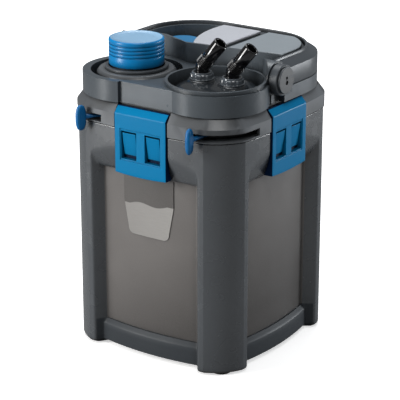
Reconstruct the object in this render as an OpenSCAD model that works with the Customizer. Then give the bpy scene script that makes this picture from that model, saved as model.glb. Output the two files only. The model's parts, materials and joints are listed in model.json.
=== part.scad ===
// Canister water filter: a square tank with stacked media baskets, a latched
// pump head, a lift-out prefilter with a primer cap, a hose adapter with two
// swivelling elbows, and a folding carry handle.
// Millimetres. Front faces -Y, right faces +X, up is +Z. The origin is on the
// floor below the middle of the tank.

/* [Tank] */
// Width and depth over the middle of the bowed sides
body_w = 230; // [228:1:232]
// Height of the seam between tank and head
seam_z = 266; // [264:1:268]
// Height of the rubber feet
foot_h = 3; // [2:0.5:4]
// Wall thickness of the tank and the head
wall = 3.5; // [3:0.5:4]
// How far the panels between the corner pillars sit back
panel_inset = 13; // [12:0.5:14]
// Width of a recessed panel
panel_w = 122; // [116:2:124]

/* [Head] */
// Height of the head flange
flange_h = 25; // [24:1:26]
// Height of the deck above the flange
deck_h = 24; // [22:1:25]
// Height of the pump housing above the flange
housing_h = 42; // [41:1:43]
// Radius of the prefilter well
prefilter_well_r = 50.5; // [50:0.1:50.6]
// Radius of the hose adapter well
adapter_well_r = 51.5; // [51:0.1:51.6]

/* [Clips] */
// Width of a clip
clip_w = 68; // [60:1:70]
// Height of a clip
clip_h = 76; // [74:1:77]

/* [Handle] */
// Width of the handle over its arms
handle_w = 224; // [222:1:226]
// Thickness of the handle's band
band_t = 14; // [12:1:14]

/* [Prefilter and hoses] */
// Radius of the primer cap
cap_r = 30.5; // [30:0.5:32]
// Height of the primer cap
cap_h = 29; // [28:1:30]
// Radius of the hose tails
tail_r = 8; // [7.5:0.5:8]
// Lean of the elbows from upright
elbow_tilt = 40; // [35:1:45]

/* [Hidden] */

$fn = 96;
eps = 0.01;
// Clearance of a running fit and of a loose neighbour
fit = 0.08;
gap = 0.4;

half = body_w / 2;
side_r = 713;
corner_r = 60;
corner_c = half - 59.5;
round_fn = 360;

// Tank levels
floor_z = foot_h + 6;
rail_top = 31;
collar_z = 214;
collar_h = 41;
collar_r = 80;
ledge_z = seam_z - 11;
seat_z = seam_z - 4;
pocket_w = clip_w + 2;
pocket_y = 109;
panel_arc_r = 400;
recess_y = 94;
mouth_w = panel_w + 19.4;
mouth_y = half - 3.5;
rail_arc_r = 320;
rail_y = 107.5;
rail_chamfer = 5;
badge_w = 66;
badge_z0 = 143;
badge_z1 = 212;
badge_taper = 6;
badge_r = 7;

// Baskets
basket_half = 91;
basket_z0 = 14;
basket_h = 76;
basket_step = 77;
basket_wall = 2;

// Head levels
flange_z = seam_z + flange_h;
flange_edge_z = flange_z - 10;
plate_z = flange_z - 4;
deck_z = flange_z + deck_h;
housing_z = flange_z + housing_h;
flange_bevel = 7.5;
wall_y = 105.5;
hinge_pocket_y = 103.7;
panel_x0 = -33.5;
panel_x1 = 36;
slot_z0 = seam_z + 1.5;
slot_z1 = seam_z + 9.5;

// Wells
prefilter_x = -50.5;
adapter_x = 54.5;
well_y = -52;
spigot_r = 43;
cage_hole_r = 40.6;
left_boss_r = 59.5;
right_boss_r = 57.5;

// Handle: pivot axis and plan outline
hub_y = -11.2;
hub_z = seam_z + 51.8;
hub_r = 17;
hub_in_x = 96.5;
hub_out_x = 104.8;
hub_face_x = 115;
cap_disc_r = 14.5;
bolt_r = 4;
handle_z0 = seam_z + 41.8;
handle_z1 = seam_z + 71;
handle_half = handle_w / 2;
handle_corner = 75;
handle_back = 115;
arm_y0 = hub_y + 21;
cradle_y = -6;

// Pump
pump_x = 30;
pump_y = 58;
rotor_r = 11.5;
shaft_r = 1.5;
can_r = rotor_r + 2.5;
can_z = flange_z + 25;
screw_r = 1.9;
screw_points = [[-84, 26], [84, 28], [-20, 90], [66, 76]];

// Cable gland in the housing's rear wall
gland_x = 60;
gland_z = flange_z + 7;
gland_r = 5.9;

// Ducts below the head
duct_h = 13;
duct_z = seam_z - 4 - duct_h;

// Heater port
plug_x = -62;
plug_y = 52;
plug_z = flange_z + 26;

// Pump covers: the left one's outer edge is an arc, which the heater recess follows
cover_arc_x = 97;
cover_arc_y = 72;
cover_arc_r = 130.5;
cover_back = 91;
cover_t = 4;
cover_inset = 4;

// Clip, in its own frame with the hinge axis as origin
hinge_y = 107.5;
hinge_z = flange_z - 4.5;
barrel_r = 3.4;
pin_r = 1.3;
clip_face = -8;
clip_t = 4;

// Levers: the paddles pass outside the tank's corners
paddle_r0 = 67;
paddle_r1 = 77.5;
paddle_t = 5;
paddle_h = 28;
paddle_z = seam_z - 10;
paddle_mid = (paddle_r0 + paddle_r1) / 2;
paddle_half = (paddle_r1 - paddle_r0) / 2;

// Prefilter
lid_z = flange_z;
cap_z = seam_z + 55;
groove_z = cap_z - 13;
boss_z = cap_z + 8;
wire_r = 0.9;
spring_r = 18;
spring_turns = 4;
spring_z0 = boss_z + wire_r;
spring_rise = (cap_z + cap_h - 3 - boss_z - 2 * wire_r) / spring_turns;

// Adapter
union_dx = 19.5;
union_y = 2;
union_z = seam_z + 50;
union_top = seam_z + 58;
dome_z = flange_z + 14;
bend_z = seam_z + 64;
tail_l = 36;
elbow_turn = 6;
stem_r = 7.2;
bore_r = 5.6;

grey = "dimgray";
dark = "darkslategray";
blue = "steelblue";

// ---- shared shapes ----

// The tank's plan: four bowed sides and four rounded corner facets. The outline
// is drawn in by i0 at the bottom and by i1 at the top.
module block(z0, z1, i0 = 0, i1 = 0) {
    h = z1 - z0;
    translate([0, 0, z0]) difference() {
        intersection_for (a = [0, 90, 180, 270]) rotate(a)
            translate([half - side_r, 0, 0])
                cylinder(h = h, r1 = side_r - i0, r2 = side_r - i1, $fn = round_fn);
        for (a = [0, 90, 180, 270]) rotate(a) difference() {
            translate([corner_c, corner_c, -1]) cube([90, 90, h + 2]);
            translate([corner_c, corner_c, 0])
                cylinder(h = h, r1 = corner_r - i0, r2 = corner_r - i1, $fn = round_fn);
        }
    }
}

// A cuboid centred on X, set back from the front face
module front_box(w, y0, y1, z0, z1) {
    translate([-w / 2, y0, z0]) cube([w, y1 - y0, z1 - z0]);
}

module four_sides() {
    for (a = [0, 90, 180, 270]) rotate(a) children();
}

module tube(r1, r2, z0, z1) {
    translate([0, 0, z0]) difference() {
        cylinder(h = z1 - z0, r = r2);
        translate([0, 0, -1]) cylinder(h = z1 - z0 + 2, r = r1);
    }
}

module disc(r, z0, z1) {
    translate([0, 0, z0]) cylinder(h = z1 - z0, r = r);
}

module at_prefilter() {
    translate([prefilter_x, well_y, 0]) children();
}

module at_adapter() {
    translate([adapter_x, well_y, 0]) children();
}

module at_pump() {
    translate([pump_x, pump_y, 0]) children();
}

module at_screws() {
    for (p = screw_points) translate([p[0], p[1], 0]) children();
}

module at_plug() {
    translate([plug_x, plug_y, 0]) children();
}

// A rod along X between two planes
module rod_x(r, x0, x1, y = 0, z = 0) {
    translate([x0, y, z]) rotate([0, 90, 0]) cylinder(h = x1 - x0, r = r);
}

module right_hub() {
    translate([0, hub_y, hub_z]) children();
}

module left_hub() {
    translate([0, hub_y, hub_z]) mirror([1, 0, 0]) children();
}

module both_hubs() {
    right_hub() children();
    left_hub() children();
}

// ---- tank ----

// Plan of the recess between two pillars, whose walls slant inwards
module recess_plan() {
    polygon([
        [-mouth_w / 2, -150], [-mouth_w / 2, -mouth_y], [-panel_w / 2, -recess_y],
        [panel_w / 2, -recess_y], [mouth_w / 2, -mouth_y], [mouth_w / 2, -150]
    ]);
}

module panel_arc(h, inset = 0) {
    translate([0, panel_arc_r - half + panel_inset, 0])
        cylinder(h = h, r = panel_arc_r - inset, $fn = round_fn);
}

// Open space over a panel, up to the collar, which rolls in towards its lower edge
module panel_space() {
    difference() {
        front_box(mouth_w, -150, -recess_y, rail_top, collar_z);
        panel_arc(collar_z);
    }
    rotate([90, 0, 90]) linear_extrude(mouth_w, center = true) difference() {
        translate([-half - 20, collar_z]) square([34, collar_h]);
        translate([collar_r - half, collar_z + collar_h]) circle(r = collar_r, $fn = round_fn);
    }
}

// Open space in front of the rail at the foot of a panel; the rail's top edge is chamfered
module rail_space() {
    difference() {
        front_box(mouth_w, -150, -recess_y, foot_h - 1, rail_top + eps);
        translate([0, rail_arc_r - rail_y, 0]) {
            cylinder(h = rail_top - rail_chamfer, r = rail_arc_r, $fn = round_fn);
            translate([0, 0, rail_top - rail_chamfer - eps])
                cylinder(h = rail_chamfer + 1, r1 = rail_arc_r, r2 = rail_arc_r - 4, $fn = round_fn);
        }
        panel_arc(rail_top + 1);
    }
    front_box(mouth_w, -150, -90, foot_h - 1, foot_h + 3);
}

module panel_cut() {
    intersection() {
        linear_extrude(seam_z) recess_plan();
        panel_space();
    }
    intersection() {
        linear_extrude(seam_z) recess_plan();
        rail_space();
    }
}

// Room inside the tank between the recessed panels
module cavity() {
    difference() {
        union() {
            block(floor_z, ledge_z + eps, wall, wall);
            block(ledge_z, seat_z + eps, 16, 16);
            block(seat_z, seam_z + 1, 10, 10);
        }
        four_sides() {
            difference() {
                front_box(mouth_w + 8, -150, -80, floor_z - 1, collar_z + 32);
                panel_arc(300, 3);
            }
            front_box(pocket_w + 7, -150, -pocket_y + wall, collar_z, seam_z + 2);
        }
    }
}

module container() {
    color(grey) difference() {
        block(foot_h, seam_z);
        four_sides() {
            panel_cut();
            front_box(pocket_w, -150, -pocket_y, collar_z - 2, seam_z + 1);
        }
        cavity();
    }
}

module feet() {
    color("black") for (a = [0, 90, 180, 270]) rotate(a)
        translate([86, 86, 0]) cylinder(h = foot_h, r = 11);
}

// Outline of the badge, narrower towards its rounded lower corners
module badge_plan() {
    low_w = badge_w / 2 - badge_taper;
    polygon([
        [-badge_w / 2, badge_z1 + 1], [-badge_w / 2, badge_z1 - 30],
        [-low_w, badge_z0 + badge_r], [badge_r - low_w, badge_z0],
        [low_w - badge_r, badge_z0], [low_w, badge_z0 + badge_r],
        [badge_w / 2, badge_z1 - 30], [badge_w / 2, badge_z1 + 1]
    ]);
    for (s = [-1, 1]) translate([s * (low_w - badge_r), badge_z0 + badge_r]) circle(r = badge_r);
}

module badge() {
    color("gray") difference() {
        intersection() {
            rotate([90, 0, 0]) linear_extrude(half) badge_plan();
            panel_arc(badge_z1, -1);
        }
        panel_arc(300);
    }
}

// Plan of a basket: a square with round corners and a bite for the prefilter
module basket_plan(inset) {
    corner = 14;
    core = basket_half - corner;
    difference() {
        union() {
            square(2 * [core, basket_half - inset], center = true);
            square(2 * [basket_half - inset, core], center = true);
            for (x = [-core, core], y = [-core, core])
                translate([x, y]) circle(r = corner - inset);
        }
        translate([prefilter_x, well_y]) circle(r = spigot_r + 2 + inset);
        translate([prefilter_x - 60, well_y - 60])
            square([60 + spigot_r + 2 + inset, 60]);
        translate([prefilter_x - 60, well_y - 60])
            square([60, 60 + spigot_r + 2 + inset]);
    }
}

module basket(level) {
    z0 = basket_z0 + level * basket_step;
    color("darkgray") translate([0, 0, z0]) {
        difference() {
            linear_extrude(basket_h) basket_plan(0);
            translate([0, 0, basket_wall]) linear_extrude(basket_h) basket_plan(basket_wall);
            for (x = [-10 : 20 : 80], y = [10 : 20 : 80])
                translate([x, y, -1]) cylinder(h = 10, r = 5, $fn = 6);
            for (x = [10 : 20 : 80], y = [-70 : 20 : -10])
                translate([x, y, -1]) cylinder(h = 10, r = 5, $fn = 6);
        }
    }
}

module media(level, h) {
    z0 = basket_z0 + level * basket_step + basket_wall;
    translate([0, 0, z0]) linear_extrude(h) basket_plan(basket_wall + 1);
}

module basket_lower() {
    basket(0);
}

module basket_middle() {
    basket(1);
}

module basket_upper() {
    basket(2);
}

module foam_coarse() {
    color("royalblue") media(0, 66);
}

module foam_fine() {
    color("orange") media(1, 66);
}

module bio_media() {
    color("wheat") media(2, 60);
}

// ---- head ----

module head_gasket() {
    color("black") difference() {
        block(seat_z, seam_z, 10.4, 10.4);
        block(seat_z - 1, seam_z + 1, 15, 15);
    }
}

// Slot in the flange that a lever's arm sweeps round
module lever_slot(a0, sweep) {
    rotate(a0) rotate_extrude(angle = sweep, $fn = round_fn)
        translate([spigot_r + 8, slot_z0]) square([40, slot_z1 - slot_z0]);
}

module head_base() {
    color(grey) difference() {
        union() {
            difference() {
                union() {
                    block(seam_z, flange_edge_z);
                    block(flange_edge_z - eps, flange_z, 0, flange_bevel);
                }
                difference() {
                    block(slot_z0, plate_z, wall, wall + 3);
                    four_sides() {
                        front_box(pocket_w + 16, -150, -wall_y + wall, 0, 400);
                        front_box(pocket_w + 16, -150, -hinge_pocket_y + wall, hinge_z - 9.5, 400);
                    }
                }
                block(seam_z - 1, slot_z0 + 1, 16, 16);
            }
            at_prefilter() tube(cage_hole_r, spigot_r, slot_z0, plate_z + eps);
            at_prefilter() tube(cage_hole_r, spigot_r + 2.5, seam_z, slot_z0);
            at_adapter() tube(cage_hole_r, spigot_r, slot_z0, plate_z + eps);
            at_adapter() tube(cage_hole_r, spigot_r + 2.5, seam_z, slot_z0);
            at_pump() {
                tube(rotor_r + 1, can_r, seam_z, can_z);
                disc(can_r, can_z - eps, can_z + 2);
                tube(rotor_r + 1, 21, seam_z, slot_z0);
            }
        }
        four_sides() {
            front_box(pocket_w, -150, -wall_y, seam_z - 1, flange_z + 1);
            front_box(pocket_w, -150, -hinge_pocket_y, hinge_z - 6, flange_z + 1);
            rod_x(pin_r + 0.05, -clip_w / 2 - 6, clip_w / 2 + 6, -hinge_y, hinge_z);
        }
        at_adapter() {
            lever_slot(-87, 84);
            for (s = [-1, 1]) translate([s * union_dx, union_y, 0]) disc(10.6, plate_z - 1, flange_z + 1);
        }
        at_prefilter() {
            lever_slot(-177, 84);
            disc(cage_hole_r, seam_z - 1, flange_z + 1);
        }
        at_pump() disc(rotor_r + 1, seam_z - 1, can_z - 1);
        at_screws() disc(screw_r + 0.1, plate_z - 1, flange_z + 1);
    }
}

// Bosses that carry the handle's pivots, outside the walls of the wells
module hub_bosses() {
    low = flange_z - hub_z;
    difference() {
        both_hubs() {
            rod_x(hub_r + 2, 84, hub_out_x);
            translate([84, -10, low]) cube([hub_out_x - 84, 17, -low]);
            translate([84, -10, low]) cube([hub_out_x - 84, 38, handle_z0 - gap - flange_z]);
        }
        at_adapter() disc(adapter_well_r + 3.1, flange_z - 1, housing_z + 10);
        at_prefilter() disc(prefilter_well_r + 3.5, flange_z - 1, housing_z + 10);
    }
}

// Round clearance for the handle's hubs
module hub_clearance() {
    both_hubs() rod_x(hub_r + 1, hub_out_x, 140);
}

module deck_plan() {
    translate([prefilter_x, well_y]) circle(r = left_boss_r, $fn = round_fn);
    translate([adapter_x, well_y]) circle(r = right_boss_r, $fn = round_fn);
    translate([-34, -wall_y]) square([70, 60]);
    difference() {
        translate([prefilter_x, -50]) square([adapter_x - prefilter_x, 60]);
        housing_front(0);
    }
}

module head_deck() {
    color(grey) difference() {
        union() {
            translate([0, 0, flange_z]) linear_extrude(deck_h) deck_plan();
            at_adapter() tube(adapter_well_r, adapter_well_r + 2.9, flange_z, deck_z + 4);
        }
        at_prefilter() disc(prefilter_well_r, flange_z - 1, deck_z + 20);
        at_adapter() disc(adapter_well_r, flange_z - 1, deck_z + 20);
        // hollow below the deck, in front of the wells
        difference() {
            front_box(60, -wall_y + 3, -80, flange_z - 1, deck_z - 3);
            at_prefilter() disc(prefilter_well_r + 3, 0, 400);
            at_adapter() disc(adapter_well_r + 3, 0, 400);
        }
        hub_bosses();
        hub_clearance();
        // flat panel between the wells' walls
        translate([panel_x0, -150, flange_z - 1])
            cube([panel_x1 - panel_x0, 150 - wall_y, deck_h + 20]);
    }
}

// Everything behind the housing's front wall, which is bent between the wells
module housing_front(inset) {
    translate([0, inset]) polygon([
        [-140, cradle_y], [-hub_out_x, cradle_y], [-hub_out_x, 13], [-60, 15], [-23, -1],
        [89, 12], [hub_out_x, 12], [hub_out_x, cradle_y], [140, cradle_y], [140, 140], [-140, 140]
    ]);
}

// Everything to the right of the left cover's curved edge
module cover_side(grow) {
    translate([cover_arc_x, cover_arc_y]) circle(r = cover_arc_r + grow, $fn = round_fn);
}

// The handle's plan, drawn in by an inset
module loop_plan(inset) {
    x = handle_half - inset;
    y = handle_back - inset;
    cx = handle_half - handle_corner;
    cy = handle_back - handle_corner;
    for (s = [-1, 1]) translate([s * cx, cy]) circle(r = handle_corner - inset, $fn = round_fn);
    translate([-cx, -60]) square([2 * cx, 60 + y]);
    translate([-x, -60]) square([2 * x, 60 + cy]);
}

module housing_plan(inset, loop_inset) {
    intersection() {
        housing_front(inset);
        loop_plan(loop_inset);
    }
}

module pump_housing() {
    low_h = handle_z0 - flange_z - gap;
    color(grey) difference() {
        union() {
            difference() {
                union() {
                    translate([0, 0, flange_z]) linear_extrude(low_h) housing_plan(0, 0);
                    translate([0, 0, flange_z])
                        linear_extrude(housing_h) housing_plan(0, band_t + 1.5);
                    // rim in front of the covers, flush with them
                    translate([0, 0, housing_z - eps]) linear_extrude(cover_t + eps) difference() {
                        housing_plan(0, band_t + 1.5);
                        housing_front(cover_inset - 0.4);
                    }
                }
                at_adapter() disc(right_boss_r, flange_z - 1, housing_z + 10);
                at_prefilter() disc(left_boss_r, flange_z - 1, housing_z + 10);
            }
            hub_bosses();
        }
        difference() {
            union() {
                translate([0, 0, flange_z - 1]) linear_extrude(low_h - 2) housing_plan(3, 3);
                translate([0, 0, flange_z - 1])
                    linear_extrude(plug_z - 3 - flange_z + 1) housing_plan(3, band_t + 5);
                translate([0, 0, flange_z - 1]) linear_extrude(housing_h - 3) intersection() {
                    housing_plan(3, band_t + 5);
                    cover_side(-2.5);
                }
            }
            at_plug() disc(19, 0, housing_z);
            at_screws() disc(5, 0, 400);
            for (x = [-120, 80]) translate([x, -60, 0]) cube([40, 74, 400]);
        }
        // recess round the heater port
        translate([0, 0, plug_z]) linear_extrude(20) difference() {
            housing_plan(3, band_t + 5);
            cover_side(0.5);
        }
        at_plug() disc(16.2, flange_z - 1, housing_z);
        at_screws() disc(screw_r + 0.1, flange_z - 1, flange_z + 12);
        hub_clearance();
        both_hubs() rod_x(bolt_r + 0.02, hub_in_x, 120);
        // room for the cable gland
        translate([gland_x, 80, gland_z]) rotate([-90, 0, 0]) cylinder(h = 60, r = gland_r + 0.1);
    }
}

module cover_plan(x0, x1) {
    intersection() {
        housing_plan(cover_inset, band_t + 4);
        translate([x0, -60]) square([x1 - x0, 60 + cover_back]);
        cover_side(0);
    }
}

module pump_cover_left() {
    color("silver") translate([0, 0, housing_z]) linear_extrude(cover_t) cover_plan(-40, 18.5);
}

module pump_cover_right() {
    color("silver") translate([0, 0, housing_z]) linear_extrude(cover_t) cover_plan(29, 120);
}

module housing_screws() {
    color("gray") at_screws() {
        disc(3.5, plate_z - 3, plate_z);
        disc(screw_r, plate_z - eps, flange_z + 10);
    }
}

module motor_block() {
    color("black") at_pump() difference() {
        disc(30, flange_z, housing_z - 6);
        disc(can_r + 0.3, flange_z - 1, can_z + 2.3);
    }
}

module rotor_shaft() {
    color("white") at_pump() disc(shaft_r, seam_z - 9, flange_z + 24);
}

module shaft_bushes() {
    color("black") at_pump() {
        tube(shaft_r + 0.02, 4, seam_z - 10.4, seam_z - 6.4);
        tube(shaft_r + 0.02, 4, flange_z + 20, flange_z + 24);
    }
}

module impeller_cover() {
    z0 = seam_z - 10.4;
    color(dark) at_pump() difference() {
        union() {
            tube(9, 19, z0, z0 + 2);
            tube(17, 19, z0 + 2 - eps, seam_z);
            tube(4, 5.5, z0, z0 + 2);
            for (a = [0, 120, 240]) rotate(a) translate([5, -1, z0]) cube([5, 2, 2]);
        }
        translate([15, -4, z0 + 3]) cube([10, 8, 4]);
    }
}

module inlet_duct() {
    color(dark) difference() {
        translate([-9.5, -62, duct_z]) cube([57.5, 24, duct_h]);
        translate([-10, -60, duct_z + 2]) cube([56, 20, duct_h - 4]);
        at_adapter() translate([-union_dx, union_y, duct_z + 5]) cylinder(h = 20, r = 8);
    }
}

module outlet_duct() {
    color(dark) difference() {
        union() {
            translate([64, -60, duct_z]) cube([20, 126, duct_h]);
            translate([pump_x + 19, pump_y - 8, duct_z]) cube([17, 16, duct_h]);
        }
        translate([66, -58, duct_z + 2]) cube([16, 122, duct_h - 4]);
        translate([pump_x + 10, pump_y - 6, duct_z + 6]) cube([40, 12, duct_h - 8]);
        at_adapter() translate([union_dx, union_y, duct_z + 5]) cylinder(h = 20, r = 8);
    }
}

module valve_sleeves() {
    color(dark) at_adapter() for (s = [-1, 1]) translate([s * union_dx, union_y, 0])
        tube(10.6, 12.6, seam_z - 4, plate_z);
}

module cable_gland() {
    color("black") translate([gland_x, 0, gland_z]) rotate([-90, 0, 0]) difference() {
        union() {
            translate([0, 0, 104]) cylinder(h = 11, r = gland_r);
            translate([0, 0, 114.2]) cylinder(h = 13.5, r1 = 7.5, r2 = 5.5);
        }
        translate([0, 0, 90]) cylinder(h = 60, r = 3.2);
    }
}

module heater_plug() {
    color(blue) at_plug() {
        disc(15.4, flange_z + 10, plug_z + eps);
        disc(18, plug_z, plug_z + 7);
    }
}

module plug_seal() {
    color("black") at_plug() tube(15.4, 16.2, flange_z + 14, flange_z + 17);
}

module clip_pins() {
    color("silver") four_sides()
        rod_x(pin_r, -clip_w / 2 - 5.5, clip_w / 2 + 5.5, -hinge_y, hinge_z);
}

module handle_pivots() {
    color("gray") {
        right_hub() rod_x(bolt_r, hub_in_x + 0.5, hub_face_x - 0.5);
        left_hub() rod_x(bolt_r, hub_in_x + 0.5, handle_half - 0.5);
    }
}

// ---- clips ----

// One clip on the front face
module clip() {
    bottom = -(hinge_z - flange_z + clip_h);
    color(blue) translate([0, -hinge_y, hinge_z]) difference() {
        union() {
            rotate([90, 0, 90]) linear_extrude(clip_w, center = true) polygon([
                [0, barrel_r], [-1, barrel_r], [clip_face, -4.5], [clip_face, bottom],
                [clip_face + 5, bottom], [clip_face + 5, bottom + 4],
                [clip_face + 3, bottom + 12], [clip_face + 3, -9], [-1, -barrel_r]
            ]);
            rod_x(barrel_r, -clip_w / 2, clip_w / 2);
            // stiffening edges and the catch
            for (s = [-1, 1]) translate([s * (clip_w / 2 - 1.5) - 1.5, clip_face + 1, bottom + 6])
                cube([3, 4.9, clip_h - 18]);
            translate([-20, clip_face + 2, bottom + 14]) cube([40, 3.9, 5]);
        }
        rod_x(pin_r + fit, -clip_w, clip_w);
        // two finger windows beside the rib
        for (x = [-25, 4]) translate([x, clip_face - 2, bottom + 22]) cube([21, 3.5, 26]);
    }
}

module clip_front() {
    clip();
}

module clip_right() {
    rotate(90) clip();
}

module clip_rear() {
    rotate(180) clip();
}

module clip_left() {
    rotate(-90) clip();
}

// ---- handle ----

module band_plan(inset) {
    difference() {
        loop_plan(inset);
        loop_plan(band_t - inset);
        translate([-150, -150]) square([300, 150 + arm_y0 + inset]);
    }
}

module carry_handle() {
    bottom = handle_z0;
    low = handle_z0 - hub_z;
    high = handle_z1 - hub_z;
    arm_t = handle_half - 105;
    color(grey) difference() {
        union() {
            translate([0, 0, bottom]) linear_extrude(handle_z1 - bottom) band_plan(0);
            // a large drum at the right, a plain rounded end at the left
            right_hub() {
                rod_x(hub_r, 105, hub_face_x);
                translate([105, 0, low]) cube([arm_t, 24, high - low]);
            }
            left_hub() {
                rod_x(-low, 105, handle_half);
                translate([105, 0, 0]) rotate([90, 0, 90]) linear_extrude(arm_t)
                    polygon([[0, low], [24, low], [24, high], [15, high], [0, -low]]);
            }
        }
        translate([0, 0, bottom - 1]) linear_extrude(handle_z1 - bottom - 3) band_plan(3);
        both_hubs() rod_x(bolt_r + fit, 100, 120);
    }
}

module hub_caps() {
    color(dark) {
        right_hub() difference() {
            rod_x(cap_disc_r, hub_face_x, hub_face_x + 3);
            rod_x(1.6, hub_face_x + 1.5, 120, 0, 2.4);
            rod_x(2.2, hub_face_x + 1.5, 120, 0, -2.4);
        }
        left_hub() rod_x(7, handle_half, handle_half + 1.5);
    }
}

// ---- levers ----

function polar(r, a) = [r * cos(a), r * sin(a)];

// Locking ring below a well, with its arm and paddle
module lever(arm_a, paddle_a) {
    color("mediumblue") {
        tube(spigot_r + fit, spigot_r + 5, slot_z0 + 0.3, slot_z1 - 1);
        translate([0, 0, slot_z0 + 0.7]) linear_extrude(slot_z1 - slot_z0 - 2) polygon([
            polar(spigot_r + 3, arm_a - 5), polar(paddle_r0 + 1.5, paddle_a - 2.5),
            polar(paddle_r0 + 1.5, paddle_a + 2.5), polar(spigot_r + 3, arm_a + 5)
        ]);
        rotate(paddle_a) translate([paddle_mid, 0, paddle_z]) {
            translate([-paddle_half, -paddle_t / 2, paddle_half])
                cube([2 * paddle_half, paddle_t, paddle_h - 2 * paddle_half]);
            for (z = [paddle_half, paddle_h - paddle_half]) translate([0, paddle_t / 2, z])
                rotate([90, 0, 0]) cylinder(h = paddle_t, r = paddle_half);
        }
    }
}

module prefilter_lever() {
    at_prefilter() lever(-101, -111);
}

module adapter_lever() {
    at_adapter() lever(-68, -78);
}

// ---- prefilter ----

module prefilter_lid() {
    color(grey) at_prefilter() difference() {
        union() {
            disc(49.4, lid_z, lid_z + 8);
            disc(44, lid_z + 8, lid_z + 22);
            translate([0, 0, lid_z + 22]) cylinder(h = 3, r1 = 44, r2 = 41);
        }
        // groove that the primer cap moves in, and the hollow underside
        tube(cap_r - 3.4, cap_r + 0.4, groove_z, cap_z + 40);
        disc(36, lid_z - 1, lid_z + 12);
    }
    color(grey) at_prefilter() disc(cap_r - 3.6, lid_z + 16, boss_z);
}

module prefilter_seal() {
    color("black") at_prefilter() tube(49.4, prefilter_well_r - 0.05, lid_z + 2, lid_z + 5);
}

module cap_collar() {
    color("black") at_prefilter() tube(cap_r + 0.6, cap_r + 4.5, lid_z + 25, lid_z + 29);
}

module prefilter_cage() {
    color(dark) at_prefilter() difference() {
        disc(39.5, 30, lid_z);
        disc(37.5, 32, lid_z + 1);
        // three rows of windows round the cage
        for (a = [0 : 45 : 315], z = [45, 115, 185]) rotate(a)
            translate([30, -9, z]) cube([20, 18, 55]);
    }
}

module prefilter_foam() {
    color("darkorange") at_prefilter() tube(14, 36.8, 34, lid_z - 20);
}

module primer_cap() {
    color(blue) at_prefilter() difference() {
        union() {
            disc(cap_r, cap_z, cap_z + cap_h - 2);
            translate([0, 0, cap_z + cap_h - 2]) cylinder(h = 2, r1 = cap_r, r2 = cap_r - 2);
        }
        disc(cap_r - 3, cap_z - 1, cap_z + cap_h - 3);
        for (i = [0 : 3]) tube(cap_r - 0.9, cap_r + 1, cap_z + 11 + 4 * i, cap_z + 12.2 + 4 * i);
    }
}

// One point of the spring's wire: round the helix by t turns, round the wire by a
function spring_point(t, a) =
    let (r = spring_r + wire_r * cos(a))
    [r * cos(360 * t), r * sin(360 * t), spring_z0 + spring_rise * t + wire_r * sin(a)];

module primer_spring() {
    rings = 16 * spring_turns;
    sides = 8;
    points = [for (i = [0 : rings], j = [0 : sides - 1]) spring_point(i / 16, -360 * j / sides)];
    skin = [for (i = [0 : rings - 1], j = [0 : sides - 1])
        let (k = (j + 1) % sides, a = i * sides, b = a + sides) [a + j, a + k, b + k, b + j]];
    ends = [[for (j = [sides - 1 : -1 : 0]) j], [for (j = [0 : sides - 1]) rings * sides + j]];
    color("silver") at_prefilter() polyhedron(points, concat(skin, ends));
}

// ---- hose adapter ----

module at_unions() {
    at_adapter() for (s = [-1, 1]) translate([s * union_dx, union_y, 0]) children();
}

module adapter_body() {
    color("black") difference() {
        union() {
            at_adapter() {
                disc(50.7, flange_z, dome_z);
                translate([0, 0, dome_z]) cylinder(h = union_z - dome_z, r1 = 48, r2 = 30);
            }
            at_unions() {
                disc(10, plate_z - 12, flange_z + 1);
                disc(14, flange_z + 6, union_z);
            }
        }
        at_unions() disc(7.5, plate_z - 13, union_z + 1);
    }
}

module adapter_seals() {
    color("black") at_unions() tube(10, 10.55, plate_z - 8, plate_z - 5);
}

module union_ring() {
    difference() {
        disc(13, union_z, union_top - 4);
        disc(stem_r + fit, union_z - 1, union_top + 1);
    }
    tube(stem_r + fit, 11, union_top - 4, union_top);
}

module union_left() {
    color("lightgray") at_adapter() translate([-union_dx, union_y, 0]) union_ring();
}

module union_right() {
    color("lightgray") at_adapter() translate([union_dx, union_y, 0]) union_ring();
}

// Swivelling elbow: a stem in the union, a ribbed bend and a smooth tail
module elbow() {
    color("black") rotate(elbow_turn) difference() {
        union() {
            disc(stem_r, union_z - 6, bend_z);
            disc(8.6, union_top + 0.3, union_top + 3);
            translate([0, 0, bend_z]) {
                sphere(r = stem_r);
                rotate([0, elbow_tilt, 0]) {
                    cylinder(h = tail_l, r = stem_r);
                    for (i = [0 : 2]) translate([0, 0, 3 + 3.2 * i]) cylinder(h = 1.4, r = tail_r + 0.8);
                    translate([0, 0, 13]) cylinder(h = tail_l - 13, r = tail_r);
                }
            }
        }
        disc(bore_r, union_z - 8, bend_z);
        translate([0, 0, bend_z]) {
            sphere(r = bore_r);
            rotate([0, elbow_tilt, 0]) cylinder(h = tail_l + 1, r = bore_r);
        }
    }
}

module elbow_left() {
    at_adapter() translate([-union_dx, union_y, 0]) elbow();
}

module elbow_right() {
    at_adapter() translate([union_dx, union_y, 0]) elbow();
}

// ---- rotor ----

module impeller() {
    color("white") at_pump() difference() {
        union() {
            disc(16, seam_z - 3, seam_z - 1.2);
            disc(4, seam_z - 6.2, seam_z - 2);
            for (a = [0 : 60 : 300]) rotate(a)
                translate([3, -0.75, seam_z - 6]) cube([12, 1.5, 3.5]);
            disc(5, seam_z - 2, seam_z + 3);
        }
        disc(shaft_r + fit, seam_z - 20, seam_z + 40);
    }
}

module rotor_magnet() {
    color("dimgray") at_pump()
        tube(shaft_r + fit, rotor_r, seam_z + 3, flange_z + 18);
}

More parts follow.
